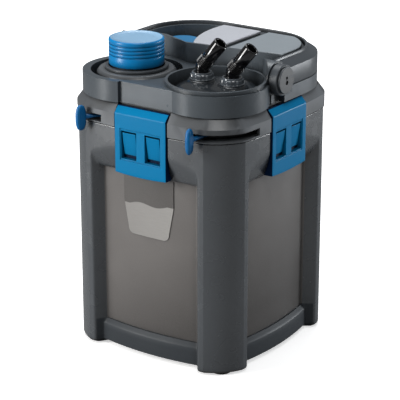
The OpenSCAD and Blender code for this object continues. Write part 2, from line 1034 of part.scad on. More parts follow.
container();
feet();
badge();
basket_lower();
basket_middle();
basket_upper();
foam_coarse();
foam_fine();
bio_media();
head_gasket();
head_base();
head_deck();
pump_housing();
pump_cover_left();
pump_cover_right();
housing_screws();
motor_block();
rotor_shaft();
shaft_bushes();
impeller_cover();
inlet_duct();
outlet_duct();
valve_sleeves();
cable_gland();
heater_plug();
plug_seal();
clip_pins();
handle_pivots();
clip_front();
clip_right();
clip_rear();
clip_left();
carry_handle();
hub_caps();
prefilter_lever();
adapter_lever();
prefilter_lid();
prefilter_seal();
cap_collar();
prefilter_cage();
prefilter_foam();
primer_cap();
primer_spring();
adapter_body();
adapter_seals();
union_left();
union_right();
elbow_left();
elbow_right();
impeller();
rotor_magnet();
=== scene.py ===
import json
import math

import bmesh
import bpy
import numpy as np
from mathutils import Matrix, Vector

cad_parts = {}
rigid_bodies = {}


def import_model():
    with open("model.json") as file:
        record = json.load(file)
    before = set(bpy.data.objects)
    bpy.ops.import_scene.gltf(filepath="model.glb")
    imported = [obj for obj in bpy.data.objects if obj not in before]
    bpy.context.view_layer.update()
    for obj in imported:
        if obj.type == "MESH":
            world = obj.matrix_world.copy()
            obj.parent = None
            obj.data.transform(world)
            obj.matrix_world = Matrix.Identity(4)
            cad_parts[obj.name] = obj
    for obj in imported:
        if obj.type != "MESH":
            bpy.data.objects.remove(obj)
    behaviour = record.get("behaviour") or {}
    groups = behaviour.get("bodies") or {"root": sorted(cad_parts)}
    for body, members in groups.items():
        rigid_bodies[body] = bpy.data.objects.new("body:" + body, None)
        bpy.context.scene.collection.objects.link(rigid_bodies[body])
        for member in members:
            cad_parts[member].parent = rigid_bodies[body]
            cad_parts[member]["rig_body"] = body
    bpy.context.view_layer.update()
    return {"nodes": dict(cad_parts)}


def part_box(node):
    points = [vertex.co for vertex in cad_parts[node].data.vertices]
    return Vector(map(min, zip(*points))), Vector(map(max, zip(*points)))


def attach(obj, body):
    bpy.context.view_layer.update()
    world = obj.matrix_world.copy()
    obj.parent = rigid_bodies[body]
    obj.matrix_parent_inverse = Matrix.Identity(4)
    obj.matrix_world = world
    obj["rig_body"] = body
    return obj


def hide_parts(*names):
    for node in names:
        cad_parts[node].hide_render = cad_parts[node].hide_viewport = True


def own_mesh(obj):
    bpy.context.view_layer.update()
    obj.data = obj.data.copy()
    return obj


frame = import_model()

# All shapes below are in millimetres, in the CAD part's frame, and scaled to metres when a mesh is made.
MM = 0.001
scene = bpy.context.scene
nodes = frame["nodes"]


def low(node):
    """Lowest corner of a CAD node in millimetres."""
    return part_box(node)[0] / MM


def high(node):
    """Highest corner of a CAD node in millimetres."""
    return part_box(node)[1] / MM


# ---- driving dimensions ----

HALF = high("container").y                 # half width over the bowed sides
SEAM = low("head_base").z                  # seam between tank and head
FLANGE = SEAM + 25                         # top of the head's flange
FOOT = high("feet").z
SIDE_R = 713
CORNER_C = HALF - 59.5
CORNER_R = 60
CREASE_R = 2.5                             # rounding where a side meets a corner facet
PANEL_Y = HALF - 13
PANEL_R = 400
MOUTH_X = 70.7                             # where a pillar's slanted wall starts
FLOOR_X = 61                               # where it meets the panel
RAIL_TOP = 31
RAIL_CHAMFER = 5
RAIL_Y = 107.5
RAIL_R = 320
COLLAR_Z = 214
COLLAR_TOP = 255
COLLAR_R = 80
POCKET_X = 35
POCKET_Y = 109
HINGE_Y = 107.5
HINGE_Z = SEAM + 20.5
CLIP_Y = 115.5
PREFILTER = (-50.5, -52)
ADAPTER = (54.5, -52)
HUB_Y = -11.2
HUB_Z = SEAM + 51.8
PADDLE_Z = SEAM + 4                        # middle of a lever's paddle
LEVER_Z = SEAM + 5                         # middle of its arm
UNION_OFFSET = 19.5                        # of each union nut from the adapter's middle, sideways
UNION_BACK = 2                             # and backwards
PIVOT_R = 17                               # the handle's drum at the right
TIP_R = 10                                 # the handle's rounded tip at the left
TIP_LENGTH = 15                            # of that tip's slanted part, from its pivot
HANDLE_HALF = 112
HANDLE_BACK = 115
HANDLE_CORNER = 75
FLOOR_GLOW = (0.55, 1.0)                   # painted glow of the floor, near the object and far from it
STUDIO_FILL = 0.145                        # strength of the white room as a light


# ---- materials ----

def rgb(r, g, b):
    """Linear colour from 0-255 display values."""
    def linear(c):
        c /= 255
        return c / 12.92 if c <= 0.04045 else ((c + 0.055) / 1.055) ** 2.4
    return (linear(r), linear(g), linear(b), 1)


def scaled(colour, k):
    return tuple(min(1, c * k) for c in colour[:3]) + (1,)


class Shader:
    """A node material in the making, in object coordinates (metres)."""

    def __init__(self, name):
        self.material = bpy.data.materials.new(name)
        self.material.use_nodes = True
        self.tree = self.material.node_tree
        self.bsdf = self.tree.nodes["Principled BSDF"]
        self.coords = self.node("ShaderNodeTexCoord").outputs["Object"]

    def node(self, kind, **settings):
        made = self.tree.nodes.new(kind)
        for key, value in settings.items():
            setattr(made, key, value)
        return made

    def link(self, a, b):
        self.tree.links.new(a, b)

    def noise(self, scale, detail=2.0, roughness=0.5, stretch=None):
        source = self.coords
        if stretch:
            mapping = self.node("ShaderNodeMapping")
            mapping.inputs["Scale"].default_value = stretch
            self.link(source, mapping.inputs["Vector"])
            source = mapping.outputs["Vector"]
        made = self.node("ShaderNodeTexNoise")
        made.inputs["Scale"].default_value = scale
        made.inputs["Detail"].default_value = detail
        made.inputs["Roughness"].default_value = roughness
        self.link(source, made.inputs["Vector"])
        return made.outputs["Fac"]

    def ramp(self, source, low_in, high_in, low_out=0.0, high_out=1.0):
        made = self.node("ShaderNodeMapRange")
        made.inputs["From Min"].default_value = low_in
        made.inputs["From Max"].default_value = high_in
        made.inputs["To Min"].default_value = low_out
        made.inputs["To Max"].default_value = high_out
        self.link(source, made.inputs["Value"])
        return made.outputs["Result"]

    def multiply_add(self, source, factor, added):
        made = self.node("ShaderNodeMath", operation="MULTIPLY_ADD")
        self.link(source, made.inputs[0])
        made.inputs[1].default_value = factor
        self.link(added, made.inputs[2])
        return made.outputs[0]

    def give(self, value, socket):
        """Links another node's output to a socket, or sets the socket to a plain value."""
        if isinstance(value, bpy.types.NodeSocket):
            self.link(value, socket)
        else:
            socket.default_value = value

    def mix(self, factor, a, b):
        """Colour between a and b."""
        made = self.node("ShaderNodeMix", data_type="RGBA")
        colour_a, colour_b = (socket for socket in made.inputs if socket.type == "RGBA")
        self.give(factor, made.inputs[0])
        self.give(a, colour_a)
        self.give(b, colour_b)
        return next(socket for socket in made.outputs if socket.type == "RGBA")

    def bump(self, height, strength, distance):
        made = self.node("ShaderNodeBump")
        made.inputs["Strength"].default_value = strength
        made.inputs["Distance"].default_value = distance
        self.link(height, made.inputs["Height"])
        self.link(made.outputs["Normal"], self.bsdf.inputs["Normal"])

    def done(self, colour, roughness):
        self.give(colour, self.bsdf.inputs["Base Color"])
        self.give(roughness, self.bsdf.inputs["Roughness"])
        return self.material


def plastic(name, colour, roughness=0.42, mottle=0.05, grain=0.12, edge_highlight=0.25, coat=0.0, gloss=0.5,
            painted_shade_heights=None):
    """Moulded plastic: slight mottling, fine spark-eroded grain, painted highlights on edges and painted
    shade in crevices. The last argument gives the heights in metres between which painted shade darkens it
    downwards, sooner towards the right."""
    s = Shader(name)
    patches = s.ramp(s.noise(14, 3), 0.3, 0.7)
    body = s.mix(patches, scaled(colour, 1 - mottle), scaled(colour, 1 + mottle))
    # painted shade: the colour darkens to half towards the bottom and towards the right
    if painted_shade_heights:
        height = s.node("ShaderNodeSeparateXYZ")
        s.link(s.coords, height.inputs[0])
        tilted = s.multiply_add(height.outputs["X"], -0.4, height.outputs["Z"])
        body = s.mix(s.ramp(tilted, *painted_shade_heights), scaled(colour, 0.5), body)
    speck = s.ramp(s.noise(900, 1), 0.35, 0.65, 0, 0.12)
    body = s.mix(speck, body, scaled(colour, 1.35))
    # painted highlight: edges found by pointiness are coloured paler
    edge = s.ramp(s.node("ShaderNodeNewGeometry").outputs["Pointiness"], 0.52, 0.62, 0, edge_highlight)
    body = s.mix(edge, body, scaled(colour, 1.9))
    # painted shade: crevices found by ambient occlusion are coloured darker
    crevice_shade = s.node("ShaderNodeAmbientOcclusion", samples=6)
    crevice_shade.inputs["Distance"].default_value = 0.012
    body = s.mix(s.ramp(crevice_shade.outputs["AO"], 0.25, 0.95), scaled(colour, 0.22), body)
    rough = s.ramp(s.noise(45, 3), 0.25, 0.75, roughness - 0.05, roughness + 0.05)
    s.bump(s.noise(1500, 2), grain, 0.0002)
    s.bsdf.inputs["Specular IOR Level"].default_value = gloss
    s.bsdf.inputs["Coat Weight"].default_value = coat
    s.bsdf.inputs["Coat Roughness"].default_value = 0.15
    return s.done(body, rough)


def rubber(name, colour):
    s = Shader(name)
    body = s.mix(s.ramp(s.noise(60, 4), 0.35, 0.65), scaled(colour, 0.8), scaled(colour, 1.25))
    s.bump(s.noise(700, 3), 0.25, 0.0003)
    return s.done(body, s.ramp(s.noise(90, 2), 0.3, 0.7, 0.6, 0.8))


def metal(name, colour, roughness=0.3):
    s = Shader(name)
    brushed = s.noise(400, 2, stretch=(0.05, 1, 1))
    body = s.mix(s.ramp(brushed, 0.3, 0.7), scaled(colour, 0.85), scaled(colour, 1.1))
    s.bsdf.inputs["Metallic"].default_value = 1
    s.bump(brushed, 0.1, 0.0001)
    return s.done(body, s.ramp(s.noise(80, 2), 0.3, 0.7, roughness - 0.06, roughness + 0.08))


def foam(name, colour, cell):
    """Open-cell filter foam: pale struts, with painted shade darkening the pores between them."""
    s = Shader(name)
    cells = s.node("ShaderNodeTexVoronoi", feature="DISTANCE_TO_EDGE")
    cells.inputs["Scale"].default_value = cell
    s.link(s.coords, cells.inputs["Vector"])
    pore_shade = s.ramp(cells.outputs["Distance"], 0.02, 0.3)
    body = s.mix(pore_shade, scaled(colour, 1.15), scaled(colour, 0.25))
    inverse = s.ramp(cells.outputs["Distance"], 0, 0.3, 1, 0)
    s.bump(inverse, 0.9, 0.0015)
    return s.done(body, 0.95)


def ceramic_media(name, colour):
    s = Shader(name)
    cells = s.node("ShaderNodeTexVoronoi", feature="F1")
    cells.inputs["Scale"].default_value = 95
    s.link(s.coords, cells.inputs["Vector"])
    shade = s.ramp(cells.outputs["Distance"], 0.15, 0.75)
    body = s.mix(shade, scaled(colour, 1.1), scaled(colour, 0.3))
    s.bump(s.ramp(cells.outputs["Distance"], 0, 0.8, 1, 0), 1.0, 0.004)
    return s.done(body, 0.85)


def badge_material():
    """Printed foil: a darker field above a wavy line, brushed silver below it."""
    s = Shader("badge_print")
    parts = s.node("ShaderNodeSeparateXYZ")
    s.link(s.coords, parts.inputs[0])
    wave = s.node("ShaderNodeMath", operation="SINE")
    s.link(s.ramp(parts.outputs["X"], -0.025, 0.025, 0, 2 * math.pi), wave.inputs[0])
    slope = s.ramp(parts.outputs["X"], -0.025, 0.025, 0.1777, 0.1822)
    line = s.multiply_add(wave.outputs[0], 0.0022, slope)
    above = s.node("ShaderNodeMath", operation="SUBTRACT")
    s.link(parts.outputs["Z"], above.inputs[0])
    s.link(line, above.inputs[1])
    field = s.ramp(above.outputs[0], -0.0003, 0.0003)
    brushed = s.ramp(s.noise(1400, 2, stretch=(0.05, 1, 1)), 0.3, 0.7)
    pale = s.mix(brushed, rgb(146, 144, 141), rgb(151, 149, 146))
    dark = s.mix(s.ramp(s.noise(700, 1), 0.3, 0.7), rgb(77, 74, 72), rgb(81, 78, 76))
    pale = s.mix(s.ramp(parts.outputs["X"], -0.02, 0.03, 0.25, 0), pale, dark)
    s.bsdf.inputs["Coat Weight"].default_value = 0.3
    return s.done(s.mix(field, pale, dark), 0.38)


BODY = plastic("body_grey", rgb(66, 70, 74), 0.26, edge_highlight=0.5, gloss=1.0)
# painted shade: the rails are the pillars' grey coloured darker, standing in for light falling off towards
# the bottom
RAIL_SHADED = plastic("rail_painted_shade", rgb(54, 58, 62), 0.45, edge_highlight=0.7, gloss=0.2)
# the panels carry painted shade, darker towards the bottom and towards the right
PANEL = plastic("panel_grey", rgb(100, 97, 95), 0.36, painted_shade_heights=(0.02, 0.12, 0, 1))
HEAD = plastic("head_grey", rgb(74, 77, 80), 0.36, edge_highlight=0.7, gloss=0.5)
HANDLE = plastic("handle_grey", rgb(68, 72, 76), 0.38, edge_highlight=0.6, gloss=0.25)
DECK = plastic("deck_grey", rgb(68, 74, 79), 0.3, edge_highlight=0.4, gloss=0.5)
COVER = plastic("cover_silver", rgb(176, 179, 186), 0.4, mottle=0.02, edge_highlight=0.1)
# painted shade: the left cover's silver coloured darker for the right cover
COVER_SHADED = plastic("cover_silver_painted_shade", rgb(130, 138, 144), 0.38, mottle=0.04, edge_highlight=0.1)
CLIP = plastic("clip_blue", rgb(0, 112, 160), 0.36, mottle=0.03, edge_highlight=0.15, gloss=0.1)
# painted shade: a dark navy copy of the clip's blue
CLIP_SHADED = plastic("clip_painted_shade", rgb(2, 32, 66), 0.6, mottle=0.03, edge_highlight=0.0, gloss=0.1)
LEVER = plastic("lever_blue", rgb(0, 92, 148), 0.4, mottle=0.03, edge_highlight=0.15, gloss=0.35)
CAP = plastic("cap_blue", rgb(0, 114, 172), 0.32, mottle=0.03, edge_highlight=0.12, gloss=0.35)
# painted highlight: a paler copy of the cap's blue for the sheen on its top
CAP_SHEEN = plastic("cap_top_painted_sheen", rgb(132, 170, 200), 0.34, mottle=0.05, edge_highlight=0.0)
PLUG = plastic("plug_blue", rgb(40, 112, 158), 0.4)
BLACK = plastic("inner_black", rgb(34, 36, 38), 0.4)
GLOSS = plastic("gloss_black", rgb(10, 10, 12), 0.1, mottle=0.02, grain=0.02, edge_highlight=0.0, coat=0.5)
ADAPTER_GREY = plastic("adapter_grey", rgb(34, 38, 42), 0.2, coat=0.3)
UNION = plastic("union_grey", rgb(78, 84, 90), 0.16, coat=0.6)
BASKET = plastic("basket_grey", rgb(120, 122, 124), 0.45)
RUBBER = rubber("seal_rubber", rgb(28, 28, 29))
STEEL = metal("steel", rgb(175, 177, 180))
POTTING = plastic("potting", rgb(32, 32, 34), 0.25)
CERAMIC = plastic("ceramic_white", rgb(225, 222, 214), 0.25)
FOAM_BLUE = foam("foam_blue", rgb(40, 90, 170), 420)
FOAM_ORANGE = foam("foam_orange", rgb(230, 120, 40), 650)
MEDIA = ceramic_media("bio_media", rgb(225, 205, 170))
BADGE = badge_material()


# ---- mesh helpers ----

def piece(name, verts, faces, material, body, replaces=(), sharp=38, bevel=0.0, bevel_angle=35,
          segments=3):
    """A closed mesh from millimetre points, shaded smooth up to the sharp angle."""
    mesh = bpy.data.meshes.new(name)
    mesh.from_pydata([tuple(c * MM for c in v) for v in verts], [], faces)
    bm = bmesh.new()
    bm.from_mesh(mesh)
    bmesh.ops.remove_doubles(bm, verts=bm.verts, dist=1e-6)
    bmesh.ops.recalc_face_normals(bm, faces=bm.faces)
    bm.to_mesh(mesh)
    bm.free()
    return placed(name, mesh, material, body, replaces, sharp, bevel, bevel_angle, segments)


def placed(name, mesh, material, body, replaces, sharp, bevel, bevel_angle, segments):
    """Links a mesh as a piece, with its edges rounded, and rides it on its body."""
    obj = bpy.data.objects.new(name, mesh)
    scene.collection.objects.link(obj)
    if bevel:
        edge = obj.modifiers.new("edges", "BEVEL")
        edge.width = bevel * MM
        edge.segments = segments
        edge.limit_method = "ANGLE"
        edge.angle_limit = math.radians(bevel_angle)
        edge.use_clamp_overlap = True
        edge.miter_outer = "MITER_ARC"
        bpy.context.view_layer.update()
        graph = bpy.context.evaluated_depsgraph_get()
        made = bpy.data.meshes.new_from_object(obj.evaluated_get(graph))
        made.name = name
        obj.modifiers.clear()
        obj.data = made
    obj.data.materials.clear()
    obj.data.materials.append(material)
    obj.data.polygons.foreach_set("use_smooth", [True] * len(obj.data.polygons))
    obj.data.set_sharp_from_angle(angle=math.radians(sharp))
    if bevel:
        weighted = obj.modifiers.new("normals", "WEIGHTED_NORMAL")
        weighted.keep_sharp = True
    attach(obj, body)
    if replaces:
        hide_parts(*replaces)
    return obj


def extra_material(obj, material, chosen):
    """Gives the faces whose middle, in millimetres, is chosen a material of their own."""
    obj.data.materials.append(material)
    for face in obj.data.polygons:
        if chosen(face.center / MM):
            face.material_index = len(obj.data.materials) - 1


def softened(node, material, bevel=0.6, lift=0.0):
    """A CAD node's shape with its flats joined up again and its edges rounded. Lift raises its underside a
    little, which leaves a shadow line above what it stands on."""
    mesh = nodes[node].data.copy()
    bm = bmesh.new()
    bm.from_mesh(mesh)
    bmesh.ops.remove_doubles(bm, verts=bm.verts, dist=2e-6)
    bmesh.ops.dissolve_limit(bm, angle_limit=math.radians(0.6), verts=bm.verts, edges=bm.edges)
    bmesh.ops.recalc_face_normals(bm, faces=bm.faces)
    if lift:
        underside = min(v.co.z for v in bm.verts)
        for v in bm.verts:
            if v.co.z < underside + 1e-4:
                v.co.z += lift * MM
    bm.to_mesh(mesh)
    bm.free()
    body = nodes[node]["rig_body"]
    return placed(node + "_look", mesh, material, body, [node], 38, bevel, 32, 3)


def loft(rings, closed=False, caps=True):
    """Faces between rings of equal length; closed joins the last ring to the first."""
    n = len(rings[0])
    verts = [p for ring in rings for p in ring]
    faces = []
    count = len(rings)
    for i in range(count if closed else count - 1):
        a, b = i * n, ((i + 1) % count) * n
        faces += [(a + j, a + (j + 1) % n, b + (j + 1) % n, b + j) for j in range(n)]
    if caps and not closed:
        faces.append(tuple(range(n)))
        faces.append(tuple((count - 1) * n + j for j in range(n)))
    return verts, faces


def fan(verts, faces, ring, centre):
    """Closes a ring of vertex numbers to a point, which suits a star-shaped outline."""
    verts.append(centre)
    hub = len(verts) - 1
    n = len(ring)
    faces.extend((ring[j], ring[(j + 1) % n], hub) for j in range(n))


def lathe(profile, centre=(0, 0), steps=96):
    """A closed turned shape. Profile is (radius, height) pairs from the axis round to the axis."""
    verts, faces, rings = [], [], []
    for r, h in profile:
        if r < 1e-6:
            rings.append([len(verts)])
            verts.append((centre[0], centre[1], h))
        else:
            rings.append(list(range(len(verts), len(verts) + steps)))
            verts += [(centre[0] + r * math.cos(2 * math.pi * i / steps),
                       centre[1] + r * math.sin(2 * math.pi * i / steps), h) for i in range(steps)]
    for a, b in zip(rings, rings[1:]):
        if len(a) == 1 and len(b) == 1:
            continue
        for i in range(steps):
            j = (i + 1) % steps
            if len(a) == 1:
                faces.append((a[0], b[i], b[j]))
            elif len(b) == 1:
                faces.append((a[i], a[j], b[0]))
            else:
                faces.append((a[i], a[j], b[j], b[i]))
    return verts, faces


def arc(cx, cz, r, a0, a1, n=5):
    """Points on an arc, angles in degrees."""
    return [(cx + r * math.cos(math.radians(a0 + (a1 - a0) * i / n)),
             cz + r * math.sin(math.radians(a0 + (a1 - a0) * i / n))) for i in range(n + 1)]


def joined(*parts):
    verts, faces = [], []
    for v, f in parts:
        k = len(verts)
        verts += v
        faces += [tuple(i + k for i in face) for face in f]
    return verts, faces


def smooth_max(a, b, k):
    return 0.5 * (a + b + math.sqrt((a - b) ** 2 + k * k))


def smooth_min(a, b, k):
    return 0.5 * (a + b - math.sqrt((a - b) ** 2 + k * k))


def turned(points, quarter):
    """Points turned about Z by a number of quarter turns."""
    c, s = [(1, 0), (0, 1), (-1, 0), (0, -1)][quarter % 4]
    return [(c * p[0] - s * p[1], s * p[0] + c * p[1], *p[2:]) for p in points]


# ---- the block outline that tank and flange share ----

def crease_round():
    """Centre of the small round between the front's arc and the corner facet, with both arcs' centres."""
    side = Vector((0, SIDE_R - HALF))
    corner = Vector((CORNER_C, -CORNER_C))
    ra, rb = SIDE_R - CREASE_R, CORNER_R - CREASE_R
    d = (corner - side).length
    along = (ra * ra - rb * rb + d * d) / (2 * d)
    off = math.sqrt(ra * ra - along * along)
    u = (corner - side) / d
    centres = [side + u * along + Vector((-u.y, u.x)) * off * s for s in (-1, 1)]
    centre = max(centres, key=lambda c: c.x)
    return centre, side, corner


def outline(front_x):
    """One quarter of the outline: the front side over the given x values, then the front right corner.
    Gives (point, inward normal, x on the front side or None)."""
    centre, side, corner = crease_round()
    start = (centre - side).normalized() * SIDE_R + side
    end = (centre - corner).normalized() * CORNER_R + corner
    points = []
    for x in front_x:
        y = side.y - math.sqrt(SIDE_R ** 2 - x * x)
        points.append(((x, y), (0.0, 1.0), x))
    a0 = math.atan2(start.y - centre.y, start.x - centre.x)
    a1 = math.atan2(end.y - centre.y, end.x - centre.x)
    for i in range(4):
        a = a0 + (a1 - a0) * i / 4
        n = Vector((math.cos(a), math.sin(a)))
        p = centre + n * CREASE_R
        points.append(((p.x, p.y), (-n.x, -n.y), None))
    b0 = math.atan2(end.y - corner.y, end.x - corner.x)
    b1 = -math.pi / 2 - b0
    for i in range(13):
        a = b0 + (b1 - b0) * i / 12
        n = Vector((math.cos(a), math.sin(a)))
        p = corner + n * CORNER_R
        points.append(((p.x, p.y), (-n.x, -n.y), None))
    for i in range(1, 5):
        # the mirror image of the first round, in the line y = -x
        a = a1 + (a0 - a1) * i / 4
        n = Vector((-math.sin(a), -math.cos(a)))
        p = Vector((-centre.y, -centre.x)) + n * CREASE_R
        points.append(((p.x, p.y), (-n.x, -n.y), None))
    return points


def crease_x():
    centre, side, _ = crease_round()
    return ((centre - side).normalized() * SIDE_R + side).x


def symmetric(values):
    """A list of positive x values mirrored to negative ones, with 0 once."""
    values = sorted(values)
    return [-v for v in reversed(values) if v > 0] + values


# ---- tank ----

def block_y(x):
    return SIDE_R - HALF - math.sqrt(SIDE_R ** 2 - x * x)


def collar_y(z):
    """Front of the collar, which rolls in below COLLAR_TOP."""
    if z >= COLLAR_TOP:
        return -HALF
    return COLLAR_R - HALF - math.sqrt(COLLAR_R ** 2 - (COLLAR_TOP - z) ** 2)


def tank_depth(x, z):
    """How far the tank's front lies behind the block outline."""
    base = block_y(x)
    panel = PANEL_R - PANEL_Y - math.sqrt(PANEL_R ** 2 - x * x)
    rail = RAIL_R - RAIL_Y - math.sqrt(RAIL_R ** 2 - x * x)
    if z >= COLLAR_Z:
        inner = max(base, collar_y(z))
        if z < COLLAR_Z + 2.5:
            t = (COLLAR_Z + 2.5 - z) / 2.5
            inner += 1.2 * t * t
    elif z > RAIL_TOP:
        inner = panel
    elif z > FOOT + 3:
        inner = min(panel, rail + max(0.0, (z - RAIL_TOP + RAIL_CHAMFER) * 0.8))
    else:
        inner = -90
    inner_depth = inner - base
    slope = (HALF - 3.5 - 94) / (MOUTH_X - FLOOR_X)
    wall = smooth_max((MOUTH_X - abs(x)) * slope, 0, 2.2)
    depth = smooth_min(wall, max(inner_depth, 0), 1.6) if inner_depth > 0.05 else 0.0
    depth = max(depth, 0.0)
    if abs(x) < POCKET_X and z > COLLAR_Z - 2:
        depth = max(depth, -POCKET_Y - base)
    return depth


def tank():
    edge = crease_x()
    xs = symmetric([0, 9, 18, 26, 31, 34.8, 35.2, 40, 45, 50, 54, 57, 59, 60.5, 61.5, 62.5, 63.5, 64.5, 65.5,
                    66.5, 67.5, 68.3, 69, 69.6, 70.1, 70.6, 71.1, 71.6, 72.2, 73, 74.2, 75.8, edge - 0.5])
    quarter = outline(xs)
    zs = [FOOT + 0.6, FOOT + 1.8, FOOT + 2.9, FOOT + 3.1, 9, 14, 20, RAIL_TOP - 5.3, RAIL_TOP - 4.7, 28,
          RAIL_TOP - 0.6, RAIL_TOP, RAIL_TOP + 0.15, 34, 40]
    zs += [50 + 12 * i for i in range(13)]
    zs += [204, 209, 211.5, 212.2, COLLAR_Z - 0.15, COLLAR_Z + 0.1, 215, 216.5, 218.5]
    zs += [221 + 3 * i for i in range(13)]
    zs += [261, SEAM - 1.8, SEAM - 1.5, SEAM - 1.3, SEAM - 1.25, SEAM]

    def all_round(points):
        return [p for q in range(4) for p in turned(points, q)]

    def ring(z, inset, shaped=True):
        """The outline at a height, drawn in by inset, with the recesses between the pillars where shaped."""
        points = []
        for (x, y), (nx, ny), front in quarter:
            d = inset
            if shaped and front is not None:
                d += tank_depth(front, z)
            points.append((x + nx * d, y + ny * d, z))
        return all_round(points)

    def inner_ring(z, inset):
        """The same outline drawn in evenly towards the axis."""
        k = (HALF - inset) / HALF
        return [(x * k, y * k, z) for x, y, _ in ring(z, 0, False)]

    def cavity_ring(z):
        """The cavity between the panels, with room in the pillars."""
        k = 0.955
        points = []
        for (x, y), _, front in quarter:
            px, py = x * k, y * k
            if front is not None and abs(front) < 73:
                py = max(py, PANEL_R - PANEL_Y + 3.5 - math.sqrt(PANEL_R ** 2 - px * px))
            points.append((px, py, z))
        return all_round(points)

    rounding = {FOOT + 0.6: 1.6, FOOT + 1.8: 0.6, FOOT + 2.9: 0.15, SEAM - 1.5: 0.0, SEAM - 1.3: 0.12,
                SEAM - 1.25: 2.4, SEAM: 2.4}
    rings = [cavity_ring(FOOT + 6), cavity_ring(COLLAR_TOP - 0.1), inner_ring(COLLAR_TOP, 16),
             inner_ring(SEAM - 4, 16), inner_ring(SEAM - 4, 10), inner_ring(SEAM, 10)]
    rings += [ring(z, rounding.get(z, 0.0)) for z in reversed(zs)]
    bottom = [(x * 0.97, y * 0.97, FOOT) for x, y, _ in ring(FOOT + 0.6, 0)]
    rings.append(bottom)
    verts, faces = loft(rings, caps=False)
    n = len(rings[0])
    fan(verts, faces, list(range(n)), (0, 0, FOOT + 6))
    fan(verts, faces, list(range((len(rings) - 1) * n, len(rings) * n)), (0, 0, FOOT))
    obj = piece("tank", verts, faces, BODY, "tank", ["container"], sharp=34)

    def on_panel(c):
        near, far = sorted((abs(c.x), abs(c.y)))
        return RAIL_TOP < c.z < COLLAR_Z and near < FLOOR_X + 1 and far > 95

    extra_material(obj, PANEL, on_panel)
    # painted shade: the rails' faces take the darker copy of the grey
    extra_material(obj, RAIL_SHADED, lambda c: c.z < RAIL_TOP + 0.2 and min(abs(c.x), abs(c.y)) < MOUTH_X - 1)


def badge():
    """Foil on the front panel, narrower towards its rounded lower corners."""
    top, bottom = high("badge").z, low("badge").z
    half_top, half_low, r = high("badge").x, high("badge").x - 6, 7
    taper_z = top - 30

    def half_width(z):
        w = half_top
        if z <= taper_z:
            w = half_low + (half_top - half_low) * (z - bottom - r) / (taper_z - bottom - r)
        if z < bottom + r:
            w = half_low - r + math.sqrt(max(0, r * r - (bottom + r - z) ** 2))
        return w

    zs = [bottom + d for d in (0.02, 0.25, 0.8, 1.7, 3, 4.8, 7)] + [158, 166, 174, 182, 192, 202, top]
    columns = 25
    sheets = []
    for lift in (0.95, 0.0):
        rows = []
        for z in zs:
            w = half_width(z)
            for i in range(columns):
                x = w * (2 * i / (columns - 1) - 1)
                rows.append((x, PANEL_R - PANEL_Y - math.sqrt((PANEL_R + lift) ** 2 - x * x), z))
        sheets.append(rows)
    verts = sheets[0] + sheets[1]
    faces = []
    m = len(zs) * columns
    for k in range(2):
        for i in range(len(zs) - 1):
            for j in range(columns - 1):
                a = k * m + i * columns + j
                face = (a, a + 1, a + 1 + columns, a + columns)
                faces.append(face if k == 0 else face[::-1])
    rim = list(range(columns)) + [i * columns + columns - 1 for i in range(1, len(zs))]
    rim += [(len(zs) - 1) * columns + j for j in range(columns - 2, -1, -1)]
    rim += [i * columns for i in range(len(zs) - 2, 0, -1)]
    for a, b in zip(rim, rim[1:] + rim[:1]):
        faces.append((a, b, b + m, a + m))
    return piece("badge_foil", verts, faces, BADGE, "tank", ["badge"], sharp=50)


# ---- clips ----

def clip_recess(x, z):
    """Depth behind the clip's face of the finger recess, the gap round each tongue and the ramped tongues."""
    bottom, top, wide, depth = 230.8, 266.2, 26.8, 0.9
    if abs(x) > wide or not bottom < z < top:
        return 0.0
    if not (5.6 < abs(x) < 25.6 and 232.4 < z < 263.4):
        return depth
    if not (6.9 < abs(x) < 24.3 and 236.4 < z < 261.6):
        return 6.2
    return depth + 0.6 + 3.1 * (261.6 - z) / 25


def clip(name, quarter, node):
    zs = [217, 219, 222, 226, 229, 230.7, 230.9, 232.3, 232.5, 236.3, 236.5, 240, 244, 248, 252, 256, 260,
          261.5, 261.7, 263.3, 263.5, 266.1, 266.3, 270, 276, 281, 282.2]
    xs = symmetric([0, 5.5, 5.7, 6.8, 7.0, 12, 19, 24.2, 24.4, 25.5, 25.7, 26.7, 26.9, 30, 32.6, 33.4, 33.9])
    clearance = 0.5

    def column(x):
        sag = 1.6 * (1 - (x / 34) ** 2)
        edge = 0.7 if abs(x) > 33.6 else (0.2 if abs(x) > 33 else 0.0)
        line = [(-CLIP_Y + 1.1 + edge, 215.8 - sag), (-CLIP_Y + 0.3 + edge, 216.1 - sag)]
        for z in zs:
            line.append((-CLIP_Y + clip_recess(x, z) + edge, z if z > 217.5 else z - sag * 0.6))
        line += [(-CLIP_Y + 0.35 + edge, 282.9), (-109.4 + edge, 289.2), (-108.6 + edge, 289.8)]
        line += [(-HINGE_Y + 3.4 * math.cos(math.radians(a)), HINGE_Z + 3.4 * math.sin(math.radians(a)))
                 for a in (92, 70, 45, 20, -5, -30, -55)]
        line += [(-109.2, 281.5), (-POCKET_Y - clearance, 266), (-POCKET_Y - clearance, 240)]
        for z in (232, 226, 222, 219, 217):
            line.append((max(-POCKET_Y, collar_y(z)) - clearance, z))
        line.append((collar_y(216) - clearance, 215.8 - sag))
        return [(x, y, z) for y, z in line]

    rings = [turned(column(x), quarter) for x in xs]
    verts, faces = loft(rings)
    obj = piece(name, verts, faces, CLIP, node, [node], sharp=30,
                bevel=0.3, bevel_angle=50, segments=2)

    # painted shade: the gaps round the tongues, the clip's top and its outer sides are coloured dark navy
    def in_painted_shade(c):
        x, y = turned([(c.x, c.y)], -quarter)[0]
        gap = abs(x) < 25.65 and 232.2 < c.z < 263.4 and -CLIP_Y + 4.9 < y < -CLIP_Y + 6.6
        return gap or c.z > HINGE_Z + 2.6 or abs(x) > 33.5

    extra_material(obj, CLIP_SHADED, in_painted_shade)


# ---- levers ----

